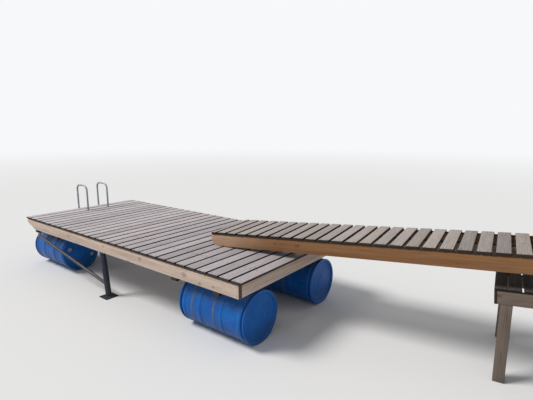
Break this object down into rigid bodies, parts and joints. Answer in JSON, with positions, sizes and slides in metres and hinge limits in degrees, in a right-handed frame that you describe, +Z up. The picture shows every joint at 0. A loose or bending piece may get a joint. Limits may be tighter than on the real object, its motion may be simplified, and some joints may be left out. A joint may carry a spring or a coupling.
{
  "type": "wooden jetty",
  "caption": "Boarded wooden pontoon on blue plastic drums, braced steel legs and a swim ladder, reached by a sloping boarded gangway that rests on a low landing on posts.",
  "frame": {"origin": "centre of the near leg's foot, on the level that the drums, legs and posts stand on", "axes": "+X along the pontoon towards the shore, +Y across it away from the pictured side, +Z up"},
  "size_m": [7.9574, 2.3265, 1.2806],
  "materials": {
    "pontoon_timber": "weathered, planed, unpainted",
    "deck_timber": "weathered grey, planed, unpainted",
    "gangway_timber": "newer, planed, oiled, unpainted",
    "gangway_board_timber": "weathered grey, planed, unpainted",
    "landing_timber": "old, weathered, unpainted",
    "landing_board_timber": "old, weathered, unpainted",
    "drum_plastic": "satin blow-moulded plastic, faded",
    "bung_plastic": "matte",
    "strap_webbing": "woven, faded",
    "galvanised_steel": "dull galvanised, weathered",
    "ladder_steel": "dull galvanised, weathered",
    "bolt_steel": "zinc plated"
  },
  "bodies": {
    "root": {"near_side_beam": "pontoon_timber", "far_side_beam": "pontoon_timber", "pontoon_joists": "pontoon_timber", "lake_end_beam": "pontoon_timber", "shore_end_beam": "pontoon_timber", "lake_bearers": "pontoon_timber", "shore_bearers": "pontoon_timber", "deck_boards": "deck_timber", "lake_near_drum": "drum_plastic", "lake_far_drum": "drum_plastic", "shore_near_drum": "drum_plastic", "shore_far_drum": "drum_plastic", "drum_bungs": "bung_plastic", "lake_straps": "strap_webbing", "shore_straps": "strap_webbing", "near_leg": "galvanised_steel", "far_leg": "galvanised_steel", "leg_foot_plates": "galvanised_steel", "leg_top_plates": "galvanised_steel", "near_brace": "galvanised_steel", "far_brace": "galvanised_steel", "brace_hangers": "galvanised_steel", "brace_bolts": "bolt_steel", "near_ladder_rail": "ladder_steel", "far_ladder_rail": "ladder_steel", "ladder_treads": "ladder_steel", "gangway_near_beam": "gangway_timber", "gangway_far_beam": "gangway_timber", "gangway_joist": "gangway_timber", "gangway_low_trimmer": "gangway_timber", "gangway_high_trimmer": "gangway_timber", "gangway_boards": "gangway_board_timber", "gangway_sill": "landing_timber", "landing_front_beam": "landing_timber", "landing_back_beam": "landing_timber", "landing_low_beam": "landing_timber", "landing_high_beam": "landing_timber", "landing_joist": "landing_timber", "landing_posts": "landing_timber", "landing_boards": "landing_board_timber"}
  },
  "joints": []
}
